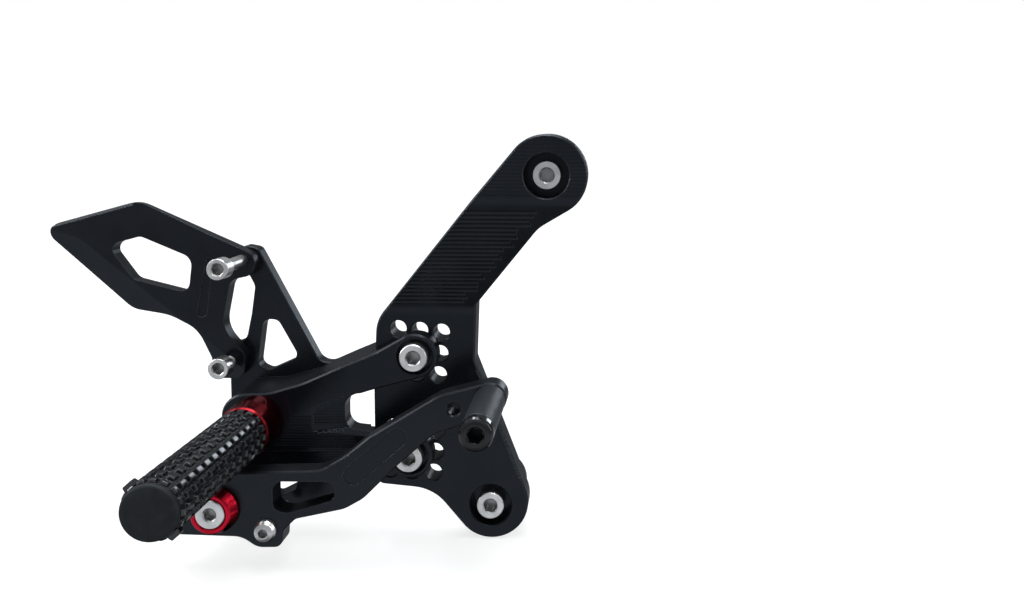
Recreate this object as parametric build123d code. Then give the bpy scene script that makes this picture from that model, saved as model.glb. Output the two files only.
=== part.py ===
from build123d import *
import math
import os

os.makedirs("parts", exist_ok=True)

# Right-hand rear-set foot control of a sports motorcycle: a frame plate bolted to
# the motorcycle through two spacers, a bracket that carries the foot peg and the
# heel guard, and a brake pedal on a ball bearing.
#
# Frame: +X towards the front of the motorcycle, +Z up, +Y inboard (towards the
# motorcycle), so the foot peg points along -Y. The origin is on the axis of the
# lower frame bolt, in the plane of the spacers' inboard faces. Millimetres.

# ---------------------------------------------------------------- driving sizes
UPPER_X, UPPER_Z = 28.5, 161.4          # upper frame bolt
PLATE_FRONT, PLATE_BACK = -29.0, -18.0  # lower part of the frame plate
ARM_FRONT, ARM_BACK = -51.5, -34.5      # upper end of the frame plate
SLOPE_Z0, SLOPE_Z1 = 96.0, 150.0        # where the arm steps outboard
SPACER_R = 15.0
LOWER_BOSS_R = 17.8
ARM_END_R = 18.5
M8_HEAD_R, M8_HEAD_H, M8_R, M8_CLEAR_R, M8_HEX = 6.5, 8.0, 4.0, 4.2, 6.0
COUNTERBORE_R = 10.2
BOLT_FREE_END = 18.0                    # thread that enters the motorcycle frame

BRACKET_FRONT = -36.5
LOBE_UPPER = (-34.4, 75.2)
LOBE_LOWER = (-37.1, 27.2)
LOBE_R, LOBE_BORE_R = 10.6, 8.5
GRID_PITCH, GRID_TURN = 10.4, 4.4       # adjusting holes, degrees clockwise

PEG_X, PEG_Z = -109.5, 43.5
COLLAR_BACK, COLLAR_FRONT = -36.5, -51.0
BARREL_END = -119.4
BARREL_R = 11.8
CAP_END, CAP_R = -122.0, 10.8
RIB_COUNT, RING_PITCH = 16, 5.6

PIVOT_X, PIVOT_Z = -118.4, 12.3
PEDAL_FRONT, PEDAL_BACK = -58.0, -49.0
LUG_FRONT, LUG_BACK = -30.0, -18.0
BOSS_FRONT = -46.5
TRAVEL_DEG = 10.0
BEARING_IN_R, BEARING_OUT_R, BEARING_W = 4.0, 9.5, 6.0
TOE_X, TOE_Z, TOE_R, TOE_END = 4.3, 63.0, 7.0, -98.0
ROD_X, ROD_Z = -96.2, 2.7

# pedal return spring
WIRE_R, COIL_R, TURNS, COIL_PITCH = 0.8, 10.1, 3.25, 2.0
SPRING_Y, START_DEG, LEG_1, LEG_2 = -46.6, 90.0, 13.5, 12.3
PIN_PEDAL = (PIVOT_X - 11.6, PIVOT_Z + COIL_R - 2.35)
PIN_BRACKET = (PIVOT_X + COIL_R - 2.35, PIVOT_Z - 10.7)

GUARD_FRONT, GUARD_BACK = -18.0, -12.0
FIN_BACK = -6.0
GUARD_SCREW_UPPER = (-123.5, 116.8)
GUARD_SCREW_LOWER = (-130.7, 66.2)


# ---------------------------------------------------------------- helpers
def contour(items, plane="xz", at=0.0):
    """Closed face from corners (a, b, radius); ("arc", a, b) bows the next side."""
    nodes, bows = [], {}
    for item in items:
        if item[0] == "arc":
            bows[len(nodes) - 1] = (item[1], item[2])
        else:
            nodes.append(item)
    n = len(nodes)

    def vec(p):
        return Vector(p[0], at, p[1]) if plane == "xz" else Vector(at, p[0], p[1])

    ins, outs, mids = [], [], []
    for i, (a, b, r) in enumerate(nodes):
        if r <= 0:
            ins.append((a, b))
            outs.append((a, b))
            mids.append(None)
            continue
        pa, pb = nodes[i - 1][:2]
        na, nb = nodes[(i + 1) % n][:2]
        u = (pa - a, pb - b)
        v = (na - a, nb - b)
        lu, lv = math.hypot(*u), math.hypot(*v)
        u = (u[0] / lu, u[1] / lu)
        v = (v[0] / lv, v[1] / lv)
        half = 0.5 * math.acos(max(-1.0, min(1.0, u[0] * v[0] + u[1] * v[1])))
        t = min(r / math.tan(half), 0.48 * lu, 0.48 * lv)
        rr = t * math.tan(half)
        bis = (u[0] + v[0], u[1] + v[1])
        lb = math.hypot(*bis)
        bis = (bis[0] / lb, bis[1] / lb)
        d = rr / math.sin(half)
        ins.append((a + u[0] * t, b + u[1] * t))
        outs.append((a + v[0] * t, b + v[1] * t))
        mids.append((a + bis[0] * (d - rr), b + bis[1] * (d - rr)))
    edges = []
    for i in range(n):
        j = (i + 1) % n
        start, end = outs[i], ins[j]
        if i in bows:
            edges.append(ThreePointArc(vec(start), vec(bows[i]), vec(end)))
        elif math.hypot(start[0] - end[0], start[1] - end[1]) > 1e-4:
            edges.append(Line(vec(start), vec(end)))
        if mids[j] is not None:
            edges.append(ThreePointArc(vec(ins[j]), vec(mids[j]), vec(outs[j])))
    return Face(Wire(edges))


def plate(items, y0, y1):
    return extrude(contour(items, "xz", y0), amount=y1 - y0, dir=(0, 1, 0))


def cyl(x, z, y0, y1, r):
    return Solid.make_cylinder(r, y1 - y0, Plane(origin=(x, y0, z), z_dir=(0, 1, 0)))


def cone(x, z, y0, y1, r0, r1):
    return Solid.make_cone(r0, r1, y1 - y0, Plane(origin=(x, y0, z), z_dir=(0, 1, 0)))


def block(x0, x1, y0, y1, z0, z1):
    return Pos((x0 + x1) / 2, (y0 + y1) / 2, (z0 + z1) / 2) * Box(x1 - x0, y1 - y0, z1 - z0)


def turned(x, z, profile):
    """Solid of revolution about the Y line through (x, z); profile holds (r, y)."""
    pts = [Vector(x + r, y, z) for r, y in profile]
    wire = Wire([Line(pts[i], pts[(i + 1) % len(pts)]) for i in range(len(pts))])
    return revolve(Face(wire), Axis((x, 0, z), (0, 1, 0)), 360)


def hexagon(x, z, y0, y1, flats, turn=0.0):
    face = Plane(origin=(x, y0, z), x_dir=(1, 0, 0), z_dir=(0, 1, 0)) * (
        Rot(0, 0, turn) * RegularPolygon(flats / math.sqrt(3), 6)
    )
    return extrude(face, amount=y1 - y0, dir=(0, 1, 0))


def cap_screw(x, z, front, head_r, head_h, hexf, spans, turn=0.0, threads=()):
    """Socket screw pointing along +Y: front of the head, then (y_end, r) spans."""
    brk = 0.06 * head_r
    prof = [(0, front), (head_r - brk, front), (head_r, front + brk), (head_r, front + head_h)]
    y = front + head_h
    cuts = []
    for k, (y_end, r) in enumerate(spans):
        last = k == len(spans) - 1
        prof.append((r, y))
        prof.append((r, y_end - (0.8 if last else 0)))
        if last:
            prof.append((r - 0.8, y_end))
        y = y_end
    prof.append((0, y))
    solid = turned(x, z, prof)
    solid -= hexagon(x, z, front - 1, front + head_h * 0.58, hexf, turn)
    solid -= cone(x, z, front - 0.01, front + 0.5, hexf / 2 + 0.7, hexf / 2 + 0.1)
    for y0, y1, pitch, r in threads:
        steps = int((y1 - y0) / pitch)
        for i in range(steps):
            yc = y0 + (i + 0.5) * pitch
            h = pitch * 0.44
            solid -= turned(x, z, [(r - 0.5 * pitch, yc), (r + 0.3, yc - h), (r + 0.3, yc + h)])
    return solid


def front_chamfer(solid, size):
    face = solid.faces().sort_by(Axis.Y)[0]
    return chamfer(face.edges(), size)


def both_chamfer(solid, size):
    faces = solid.faces().sort_by(Axis.Y)
    return chamfer(faces[0].edges() + faces[-1].edges(), size)


out = {}

# ---------------------------------------------------------------- frame plate
cx, cz = UPPER_X, UPPER_Z
plate_outline = [
    (-55.9, 10.4, 5.0),
    (-55.9, 60.0, 0.0),
    (-54.4, 90.6, 17.0),
    (cx - ARM_END_R * 0.7696, cz + ARM_END_R * 0.6384, 0.0),
    ("arc", cx + ARM_END_R * 0.745, cz + ARM_END_R * 0.667),
    (cx + ARM_END_R * 0.548, cz - ARM_END_R * 0.8365, 0.0),
    (24.6, 137.3, 18.0),
    (-6.4, 98.5, 3.0),
    (-7.4, 71.5, 5.0),
    (17.03, 7.75, 0.0),
    ("arc", 0.4, 1.4 - LOWER_BOSS_R),
    (-13.2, -10.0, 0.0),
    (-27.9, 7.6, 22.0),
]
outline = plate(plate_outline, -60.0, 0.0)
side = [
    (PLATE_FRONT, -30.0, 0),
    (PLATE_FRONT, SLOPE_Z0, 14.0),
    (ARM_FRONT, SLOPE_Z1, 14.0),
    (ARM_FRONT, 190.0, 0),
    (ARM_BACK, 190.0, 0),
    (ARM_BACK, SLOPE_Z1 - 9.0, 14.0),
    (PLATE_BACK, SLOPE_Z0 + 6.0, 14.0),
    (PLATE_BACK, -30.0, 0),
]
jog = extrude(contour(side, "yz", -70.0), amount=130.0, dir=(1, 0, 0))
frame_plate = outline & jog
# light edge break all round the outboard face
try:
    edges = [
        e
        for e in frame_plate.edges()
        if all(
            abs(p.Y - PLATE_FRONT) < 0.05 or abs(p.Y - ARM_FRONT) < 0.05
            for p in (e @ 0, e @ 1)
        )
        and (e @ 0.5).Y < PLATE_FRONT + 0.1
    ]
    frame_plate = chamfer(
        [
            e
            for e in frame_plate.edges()
            if (e @ 0.5).Y < PLATE_FRONT + 0.05
            and len([f for f in frame_plate.faces() if e in f.edges() and abs(f.normal_at(e @ 0.5).Y) < 0.2]) == 1
        ],
        0.8,
    )
    print("frame plate edge break done")
except Exception as problem:  # the plate is sound without its edge break
    print("frame plate edge break left out:", problem)

# scalloped tool passes across the sloping face, 2.2 mm apart
sy, sz = ARM_FRONT - PLATE_FRONT, SLOPE_Z1 - SLOPE_Z0
sl = math.hypot(sy, sz)
ty, tz = sy / sl, sz / sl
ny, nz = -tz, ty
TOOL_R, PASS = 3.2, 2.2
dip = PASS * PASS / (8 * TOOL_R)
count = int((sl - 7.0) / PASS)
cutters = []
for i in range(count):
    s = 3.5 + PASS * (i + 0.5)
    yy = PLATE_FRONT + ty * s + ny * (TOOL_R - dip)
    zz = SLOPE_Z0 + tz * s + nz * (TOOL_R - dip)
    z_surface = SLOPE_Z0 + tz * s
    x_end = -6.4 + (z_surface - 98.5) * 0.80 - 7.0 + 1.8 * math.sin(2.4 * i) + 1.1 * math.sin(5.1 * i)
    cutters.append(
        Solid.make_cylinder(TOOL_R, x_end + 75.0, Plane(origin=(-75.0, yy, zz), z_dir=(1, 0, 0)))
    )
fine = 1.6
for i in range(16):
    zz = SLOPE_Z1 + 3.0 + fine * i
    half = math.sqrt(max(1.0, ARM_END_R**2 - max(0.0, zz - UPPER_Z) ** 2))
    cutters.append(
        Solid.make_cylinder(
            TOOL_R,
            UPPER_X + half * 1.6 + 75.0,
            Plane(origin=(-75.0, ARM_FRONT - TOOL_R + fine * fine / (8 * TOOL_R), zz), z_dir=(1, 0, 0)),
        )
    )
frame_plate = frame_plate - cutters

g = math.radians(GRID_TURN)
e1 = (math.cos(g) * GRID_PITCH, -math.sin(g) * GRID_PITCH)
e2 = (math.sin(g) * GRID_PITCH, math.cos(g) * GRID_PITCH)
grid = []
for bx, bz in (LOBE_UPPER, LOBE_LOWER):
    for i in (-1, 0, 1):
        for j in (-1, 0, 1):
            grid.append((bx + i * e1[0] + j * e2[0], bz + i * e1[1] + j * e2[1]))
holes = []
for hx, hz in grid:
    holes.append(cyl(hx, hz, PLATE_FRONT - 2, PLATE_BACK + 2, M8_R))
    holes.append(cone(hx, hz, PLATE_FRONT - 0.01, PLATE_FRONT + 0.5, M8_R + 0.5, M8_R))
    holes.append(cone(hx, hz, PLATE_BACK - 0.5, PLATE_BACK + 0.01, M8_R, M8_R + 0.5))
holes += [
    cyl(0, 0, PLATE_FRONT - 1, -22.0, COUNTERBORE_R),
    cone(0, 0, PLATE_FRONT - 0.01, PLATE_FRONT + 0.5, COUNTERBORE_R + 0.5, COUNTERBORE_R),
    cyl(0, 0, -30.0, 0.0, M8_CLEAR_R),
    cyl(cx, cz, ARM_FRONT - 1, -40.0, COUNTERBORE_R),
    cone(cx, cz, ARM_FRONT - 0.01, ARM_FRONT + 0.5, COUNTERBORE_R + 0.5, COUNTERBORE_R),
    cyl(cx, cz, -60.0, 0.0, M8_CLEAR_R),
]
# serrations left by the cutter along the lower front edge, 1.5 mm apart
p0, p1 = (-7.4, 71.5), (17.03, 7.75)
pl = math.hypot(p1[0] - p0[0], p1[1] - p0[1])
pd = ((p1[0] - p0[0]) / pl, (p1[1] - p0[1]) / pl)
po = (-pd[1], pd[0])
for i in range(38):
    t = 5.5 + 1.5 * i
    k = math.sqrt(0.5)
    bite = 1.0 + 0.12 * math.sin(1.9 * i)
    off = 1.0 - bite
    centre = (p0[0] + pd[0] * t + po[0] * off * k, PLATE_FRONT - off * k, p0[1] + pd[1] * t + po[1] * off * k)
    along = (po[0] * k, k, po[1] * k)
    holes.append(Solid.make_cylinder(1.0, 6.0, Plane(origin=tuple(c - 3.0 * a for c, a in zip(centre, along)), z_dir=along)))
frame_plate = frame_plate - holes
out["frame_plate"] = frame_plate


def spacer(x, z, y0):
    s = cyl(x, z, y0, 0.0, SPACER_R) - cyl(x, z, y0 - 1, 1.0, M8_CLEAR_R)
    # waisted middle, as on a turned spacer
    mid = (y0 + 0.0) / 2
    w = (0.0 - y0) / 2 - 4.5
    s -= turned(x, z, [(SPACER_R - 1.2, mid - w + 1.2), (SPACER_R - 1.2, mid + w - 1.2), (SPACER_R + 1, mid + w + 1.0), (SPACER_R + 1, mid - w - 1.0)])
    for ya, yb, ra, rb in ((y0 - 0.01, y0 + 0.8, SPACER_R - 0.8, SPACER_R), (-0.8, 0.01, SPACER_R, SPACER_R - 0.8)):
        ring = cyl(x, z, ya, yb, SPACER_R + 2) - cone(x, z, ya, yb, ra, rb)
        s -= ring
    return s


out["frame_spacer_lower"] = spacer(0, 0, PLATE_BACK)
out["frame_spacer_upper"] = spacer(cx, cz, ARM_BACK)
out["frame_bolt_lower"] = cap_screw(0, 0, -30.0, M8_HEAD_R, M8_HEAD_H, M8_HEX, [(0.0, 3.4), (BOLT_FREE_END, M8_R)], 12)
out["frame_bolt_upper"] = cap_screw(cx, cz, -48.0, M8_HEAD_R, M8_HEAD_H, M8_HEX, [(0.0, 3.4), (BOLT_FREE_END, M8_R)], 25)

# ---------------------------------------------------------------- peg bracket
ux, uz = LOBE_UPPER
lx, lz = LOBE_LOWER


def on(c, r, deg):
    return (c[0] + r * math.cos(math.radians(deg)), c[1] + r * math.sin(math.radians(deg)))


t1, tm, t2 = on(LOBE_UPPER, LOBE_R, 124), on(LOBE_UPPER, LOBE_R, 20), on(LOBE_UPPER, LOBE_R, -83)
b1, bm, b2 = on(LOBE_LOWER, LOBE_R, 88), on(LOBE_LOWER, LOBE_R, -12), on(LOBE_LOWER, LOBE_R, -117)
bracket_outline = [
    (-126.2, 56.2, 13.0),
    (-104.0, 57.0, 30.0),
    (-87.5, 61.9, 40.0),
    (-69.6, 69.9, 40.0),
    (-53.4, 76.6, 20.0),
    (t1[0], t1[1], 0),
    ("arc", tm[0], tm[1]),
    (t2[0], t2[1], 0),
    (-53.4, 59.3, 20.0),
    (-68.0, 54.8, 6.5),
    (-68.0, 39.9, 6.0),
    (-52.0, 38.2, 10.0),
    (b1[0], b1[1], 0),
    ("arc", bm[0], bm[1]),
    (b2[0], b2[1], 0),
    (-62.5, 28.6, 12.0),
    (-126.2, 29.0, 13.0),
]
front = front_chamfer(plate(bracket_outline, BRACKET_FRONT, PLATE_FRONT), 0.8)
root_block = plate(bracket_outline, PLATE_FRONT, GUARD_BACK) & block(-140, -76.0, -40, 0, 0, 100)
# deep rib along the upper arm's top edge, as far as the frame plate's edge
top_rib = plate(bracket_outline, PLATE_FRONT, FIN_BACK) & plate(
    [(-92.0, 52.0, 0), (-77.0, 57.0, 0), (-57.2, 66.5, 0), (-57.2, 95.0, 0), (-92.0, 95.0, 0)], -40.0, 0.0
)
neck = plate(bracket_outline, PLATE_FRONT, -27.0) & block(-74.0, -58.0, -40, 0, 0, 100)
fin_outline = [
    (-124.5, 123.4, 3.0),
    (-118.2, 122.2, 4.0),
    (-86.9, 62.15, 14.0),
    (-74.0, 67.85, 0.0),
    (-74.0, 60.0, 0.0),
    (-84.0, 56.0, 4.0),
    (-84.0, 29.5, 6.0),
    (-133.6, 29.5, 10.0),
    (-133.6, 60.0, 0.0),
    (-134.5, 72.6, 2.0),
    (-125.0, 76.0, 5.0),
    (-122.2, 89.0, 20.0),
    (-120.2, 103.0, 5.0),
    (-123.0, 108.5, 4.0),
    (-130.3, 113.0, 5.0),
    (-130.3, 120.5, 5.0),
]
fin = plate(fin_outline, GUARD_BACK, FIN_BACK)
fin += cyl(GUARD_SCREW_LOWER[0], GUARD_SCREW_LOWER[1], GUARD_BACK, FIN_BACK, 8.0)
fin = front_chamfer(fin, 0.5)
lug_outline = [
    (-128.0, 42.0, 0),
    (-77.0, 42.0, 0),
    (-63.0, 33.0, 6.0),
    (-61.0, 18.0, 8.0),
    (-64.0, 2.6, 12.0),
    (-88.0, -2.7, 20.0),
    (-118.4, -2.7, 0),
    ("arc", -129.0, 1.69),
    (-133.4, 12.3, 0),
]
lug = plate(lug_outline, LUG_FRONT, LUG_BACK)
small_window = [(-108.6, 18.6, 2.5), (-91.5, 18.6, 3.0), (-94.0, 7.6, 3.0), (-108.4, 0.2, 3.0)]
peg_bracket = front + root_block + top_rib + neck + fin + lug
peg_bracket += cyl(PIVOT_X, PIVOT_Z, BOSS_FRONT, LUG_FRONT + 1, 8.5)
tri = [(-116.2, 86.4, 4.5), (-108.8, 86.0, 4.0), (-98.4, 67.0, 3.5), (-113.8, 60.0, 4.0), (-119.6, 62.8, 4.0)]
cuts = [
    plate(small_window, -34.0, -10.0),
    plate(tri, GUARD_BACK - 0.5, 0.0),
    # lightening pockets, open at the inboard side
    plate([(-97.5, 54.5, 4.0), (-78.0, 60.5, 4.0), (-78.0, 34.0, 4.0), (-97.5, 34.0, 4.0)], -28.5, 0.0),
    plate([(-88.0, 25.0, 4.0), (-66.0, 30.0, 4.0), (-66.5, 9.0, 4.0), (-86.0, 4.0, 4.0)], -24.5, 0.0),
    # peg bolt: counterbore from the inboard side, clearance hole through
    cyl(PEG_X, PEG_Z, -16.0, 0.0, 7.6),
    cyl(PEG_X, PEG_Z, -60.0, 0.0, M8_CLEAR_R),
    # pedal pivot thread and the stop pin's hole
    cyl(PIVOT_X, PIVOT_Z, -60.0, 0.0, M8_R),
    # guard screws
    cyl(*GUARD_SCREW_UPPER, -13.0, 0.0, 3.0),
    cyl(*GUARD_SCREW_LOWER, -13.0, 0.0, 3.0),
]
for c in (LOBE_UPPER, LOBE_LOWER):
    cuts += [
        cyl(c[0], c[1], BRACKET_FRONT - 1, -31.6, LOBE_BORE_R),
        cone(c[0], c[1], BRACKET_FRONT - 0.01, BRACKET_FRONT + 0.4, LOBE_BORE_R + 0.4, LOBE_BORE_R),
        cyl(c[0], c[1], -40.0, -20.0, M8_CLEAR_R),
    ]
STOP_R, STOP_DEG = 13.0, 200.0
stop = on((PIVOT_X, PIVOT_Z), STOP_R, STOP_DEG)
cuts.append(cyl(stop[0], stop[1], -40.0, -10.0, 2.0))
cuts.append(cyl(*PIN_BRACKET, LUG_FRONT - 1, LUG_BACK - 4.0, 1.5))
# ramped recess round the fork's inner end: flush at the root, deepest at the fork
RAMP = math.radians(6.0)
ramp_side = Polyline(
    (-84.0, BRACKET_FRONT),
    (-56.0, BRACKET_FRONT + 28.0 * math.tan(RAMP)),
    (-56.0, BRACKET_FRONT - 3.0),
    (-84.0, BRACKET_FRONT - 3.0),
    close=True,
)
ramp = Pos(0, 0, 33.0) * extrude(make_face(ramp_side), amount=30.0)
cuts.append(ramp & plate([(-84.0, 38.9, 0), (-84.0, 49.9, 0), (-80.5, 51.2, 3.0), (-64.0, 57.2, 0), (-60.0, 57.2, 0), (-60.0, 41.0, 0), (-80.0, 38.8, 0)], BRACKET_FRONT - 2, BRACKET_FRONT + 4.0))
# sloping facet from the recess's floor up to the lower arm
fa = Vector(-81.0, BRACKET_FRONT, 38.9)
fb = Vector(-60.0, BRACKET_FRONT + 24.0 * math.tan(RAMP), 40.9)
fc = Vector(-53.0, BRACKET_FRONT, 36.4)
fa2, fb2, fc2 = (Vector(v.X, BRACKET_FRONT - 2.0, v.Z) for v in (fa, fb, fc))


def flat_face(*points):
    return Face(Wire([Line(points[i], points[(i + 1) % len(points)]).edge() for i in range(len(points))]))


facet_cut = Solid(Shell([
    flat_face(fa, fb, fc),
    flat_face(fa2, fc2, fb2),
    flat_face(fa, fa2, fb2, fb),
    flat_face(fb, fb2, fc2, fc),
    flat_face(fc, fc2, fa2, fa),
]))
peg_bracket = peg_bracket - cuts
before = peg_bracket.volume
trimmed = peg_bracket - facet_cut
if 0 < before - trimmed.volume < 200 and len(trimmed.solids()) == 1:
    peg_bracket = trimmed
print("facet removed", before - trimmed.volume)
# fine cutter passes across the bracket's face and the recess, 1.25 mm apart
FINE_R, FINE = 1.8, 1.25
fine_dip = FINE * FINE / (8 * FINE_R)
passes = []
for i in range(12):
    z_pass = 32.6 + FINE * i
    x0 = -109.0
    x1 = -62.0 + 1.5 * math.sin(1.7 * i)
    passes.append(Solid.make_cylinder(FINE_R, x1 - x0, Plane(origin=(x0, BRACKET_FRONT - FINE_R + fine_dip, z_pass), z_dir=(1, 0, 0))))
for i in range(9):
    z_pass = 42.7 + FINE * i
    x0 = max(-82.5, -80.5 + (z_pass + FINE_R - 51.2) / 0.3636 + 0.3)
    lift = FINE_R - fine_dip
    y0 = BRACKET_FRONT + (x0 + 84.0) * math.tan(RAMP)
    passes.append(Solid.make_cylinder(FINE_R, 24.0, Plane(origin=(x0 + lift * math.sin(RAMP), y0 - lift * math.cos(RAMP), z_pass), z_dir=(math.cos(RAMP), math.sin(RAMP), 0))))
# short nicks left along the recess's lower border
for i in range(7):
    f = i / 6.0
    nick = (-80.4 + 17.0 * f, 38.5 + 1.7 * f)
    deep = max(0.0, nick[0] + 84.0) * math.tan(RAMP) * 0.55
    passes.append(Solid.make_cylinder(0.9, 2.6, Plane(origin=(nick[0], BRACKET_FRONT - 0.45 + deep, nick[1]), z_dir=(0.93, 0, 0.36))))
peg_bracket = peg_bracket - passes
out["peg_bracket"] = peg_bracket

bolts = []
for k, c in enumerate((LOBE_UPPER, LOBE_LOWER)):
    bolts.append(cap_screw(c[0], c[1], -39.6, M8_HEAD_R, M8_HEAD_H, M8_HEX, [(-18.8, M8_R - 0.02)], 8 + 20 * k))
out["bracket_bolts"] = Compound(children=bolts)

# ---------------------------------------------------------------- foot peg
collar = turned(
    PEG_X,
    PEG_Z,
    [
        (M8_CLEAR_R, COLLAR_BACK),
        (12.4, COLLAR_BACK),
        (12.9, COLLAR_BACK - 0.5),
        (12.7, -43.0),
        (12.0, COLLAR_FRONT + 0.8),
        (11.4, COLLAR_FRONT),
        (M8_CLEAR_R, COLLAR_FRONT),
    ],
)
out["peg_collar"] = collar
barrel = turned(
    PEG_X,
    PEG_Z,
    [
        (0, COLLAR_FRONT),
        (11.0, COLLAR_FRONT),
        (BARREL_R, COLLAR_FRONT - 0.8),
        (BARREL_R, BARREL_END + 0.7),
        (11.1, BARREL_END),
        (0, BARREL_END),
    ],
)
grooves = []
ring_count = 12
for i in range(ring_count):
    yc = COLLAR_FRONT - 3.3 - i * RING_PITCH
    grooves.append(
        turned(
            PEG_X,
            PEG_Z,
            [(BARREL_R - 1.5, yc - 0.75), (BARREL_R - 1.5, yc + 0.75), (BARREL_R + 0.5, yc + 1.55), (BARREL_R + 0.5, yc - 1.55)],
        )
    )
for i in range(RIB_COUNT):
    a = 360.0 / RIB_COUNT * i + 8.0
    p = Plane(origin=(PEG_X, COLLAR_FRONT + 1.0, PEG_Z), x_dir=(math.cos(math.radians(a)), 0, math.sin(math.radians(a))), z_dir=(0, -1, 0))
    r0 = BARREL_R - 1.5
    tri_face = p * make_face(Polyline((r0, -0.55), (r0, 0.55), (BARREL_R + 0.6, 1.4), (BARREL_R + 0.6, -1.4), close=True))
    grooves.append(extrude(tri_face, amount=COLLAR_FRONT - BARREL_END + 2.0, dir=(0, -1, 0)))
barrel = barrel - grooves
for a in (132.0, 312.0):
    p = on((PEG_X, PEG_Z), 11.0, a)
    q = on((PEG_X, PEG_Z), 13.2, a)
    wide = [(q[0] + 2.1 * math.cos(math.radians(a + 90)), q[1] + 2.1 * math.sin(math.radians(a + 90)), 0.8),
            (q[0] - 2.1 * math.cos(math.radians(a + 90)), q[1] - 2.1 * math.sin(math.radians(a + 90)), 0.8),
            (p[0] - 2.6 * math.cos(math.radians(a + 90)), p[1] - 2.6 * math.sin(math.radians(a + 90)), 0),
            (p[0] + 2.6 * math.cos(math.radians(a + 90)), p[1] + 2.6 * math.sin(math.radians(a + 90)), 0)]
    barrel += plate(wide, BARREL_END + 0.3, BARREL_END + 2.8)
barrel -= cyl(PEG_X, PEG_Z, -92.0, COLLAR_FRONT + 1, M8_R)
barrel -= cyl(PEG_X, PEG_Z, BARREL_END - 1, BARREL_END + 12.0, 5.0)
out["peg_barrel"] = barrel
out["peg_bolt"] = Plane(origin=(PEG_X, 0, PEG_Z)) * (
    Rot(0, 0, 180) * cap_screw(0, 0, 7.6 + 0.4, M8_HEAD_R, M8_HEAD_H, M8_HEX, [(90.0, M8_R - 0.02)], 5)
)
out["peg_end_cap"] = turned(
    PEG_X,
    PEG_Z,
    [
        (0, CAP_END),
        (CAP_R - 2.4, CAP_END + 0.12),
        (CAP_R - 0.9, CAP_END + 0.35),
        (CAP_R - 0.3, CAP_END + 0.75),
        (CAP_R, CAP_END + 1.4),
        (CAP_R, BARREL_END),
        (4.98, BARREL_END),
        (4.98, BARREL_END + 11.0),
        (0, BARREL_END + 11.0),
    ],
)

# ---------------------------------------------------------------- heel guard
guard_outline = [
    (-223.5, 132.5, 5.0),
    (-176.1, 145.8, 14.0),
    (-117.2, 119.6, 5.5),
    (-117.4, 109.8, 6.0),
    (-129.4, 107.2, 5.0),
    (-134.2, 83.5, 14.0),
    (-123.0, 70.0, 6.0),
    (-123.6, 57.6, 7.0),
    (-139.2, 57.4, 7.0),
    (-140.0, 68.0, 6.0),
    (-146.0, 82.5, 16.0),
    (-160.0, 89.6, 25.0),
    (-179.0, 92.2, 12.0),
]
heel_guard = plate(guard_outline, GUARD_FRONT, GUARD_BACK)
window = [(-189.8, 124.2, 4.0), (-173.4, 128.7, 6.0), (-148.0, 118.0, 6.0), (-150.2, 100.4, 4.5), (-177.5, 107.2, 6.0)]
heel_guard -= plate(window, GUARD_FRONT - 1, GUARD_BACK + 1)


def facet(p, q, tilt):
    """Wedge that bevels the outboard face on the left of the line p to q."""
    dx, dz = q[0] - p[0], q[1] - p[1]
    ln = math.hypot(dx, dz)
    frame_here = Plane(origin=(p[0], GUARD_FRONT, p[1]), x_dir=(dx / ln, 0, dz / ln), z_dir=(0, -1, 0))
    # local x runs along the line, local y to its left, local z outboard
    local = Rot(-tilt, 0, 0) * (Pos(0, 60, 10) * Box(400, 120, 20))
    return frame_here * local


def left_probe(p, q, tilt, probe):
    return facet(p, q, tilt).is_inside(Vector(*probe))


top_p, top_q = (-216.0, 127.2), (-140.0, 128.6)
low_p, low_q = (-168.0, 98.6), (-204.0, 128.0)
wedges = []
for p, q, tilt, probe in (
    (top_p, top_q, 11.0, (-178.0, GUARD_FRONT - 0.2, 140.0)),
    (low_p, low_q, 9.0, (-200.0, GUARD_FRONT - 0.2, 112.0)),
):
    wedge = facet(p, q, tilt)
    flip = facet(q, p, tilt)
    chosen = wedge if any(s.is_inside(Vector(*probe)) for s in wedge.solids()) else flip
    wedges.append(chosen)
heel_guard = heel_guard - wedges
# serrated bevel along the upper rear edge: short passes at 45 degrees, 1.5 mm apart
edge_p, edge_q = (-220.0, 133.48), (-178.4, 145.15)
el = math.hypot(edge_q[0] - edge_p[0], edge_q[1] - edge_p[1])
ed = ((edge_q[0] - edge_p[0]) / el, (edge_q[1] - edge_p[1]) / el)
eo = (-ed[1], ed[0])
SER_R, SER_PITCH, SER_DEPTH = 1.1, 1.5, 0.95
tl = math.hypot(top_q[0] - top_p[0], top_q[1] - top_p[1])
teeth = []
for i in range(int(el / SER_PITCH) + 1):
    ex, ez = edge_p[0] + ed[0] * SER_PITCH * i, edge_p[1] + ed[1] * SER_PITCH * i
    rise = ((top_q[0] - top_p[0]) * (ez - top_p[1]) - (top_q[1] - top_p[1]) * (ex - top_p[0])) / tl
    ey = GUARD_FRONT + max(0.0, rise) * math.tan(math.radians(11.0))
    k = math.sqrt(0.5)
    off = SER_R - SER_DEPTH
    centre = (ex + eo[0] * off * k, ey - off * k, ez + eo[1] * off * k)
    along = (eo[0] * k, k, eo[1] * k)
    start = tuple(c - 3.0 * a for c, a in zip(centre, along))
    teeth.append(Solid.make_cylinder(SER_R, 6.0, Plane(origin=start, z_dir=along)))
heel_guard = heel_guard - teeth
heel_guard -= plate([(-140.9, 118.6, 2.4), (-138.1, 117.8, 2.4), (-141.6, 88.4, 2.4), (-146.8, 88.8, 2.4)], GUARD_FRONT - 1, GUARD_FRONT + 0.5)
heel_guard -= cyl(*GUARD_SCREW_UPPER, -30.0, 0.0, 3.2)
heel_guard -= cyl(*GUARD_SCREW_LOWER, -30.0, 0.0, 3.2)
out["heel_guard"] = heel_guard

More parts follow.
